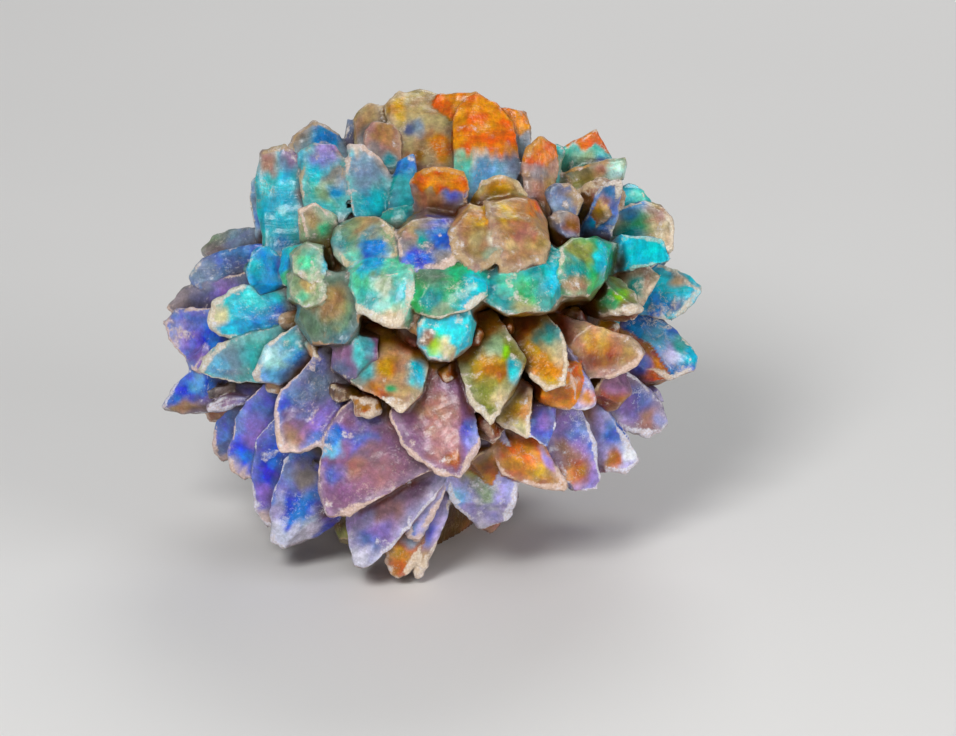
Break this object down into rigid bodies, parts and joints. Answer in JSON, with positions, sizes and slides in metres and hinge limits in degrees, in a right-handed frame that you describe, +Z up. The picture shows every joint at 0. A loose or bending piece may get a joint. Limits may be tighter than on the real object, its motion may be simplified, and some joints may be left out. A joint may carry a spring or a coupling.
{
  "type": "opal pineapple mineral specimen",
  "caption": "Ball of bladed opal crystals radiating from a common centre, one fused lump that rests on a small flat spot.",
  "frame": {"origin": "on the flat resting spot, below the point that the crystals radiate from", "axes": "+Z up, -Y towards the viewer of the pictured face, +X to that viewer's right"},
  "size_m": [0.1071, 0.1003, 0.0891],
  "materials": {
    "opal": "milky precious opal with blue, cyan, violet and green fire, amber recesses and cream crusted edges"
  },
  "bodies": {
    "root": {"opal_pineapple": "opal"}
  },
  "joints": []
}
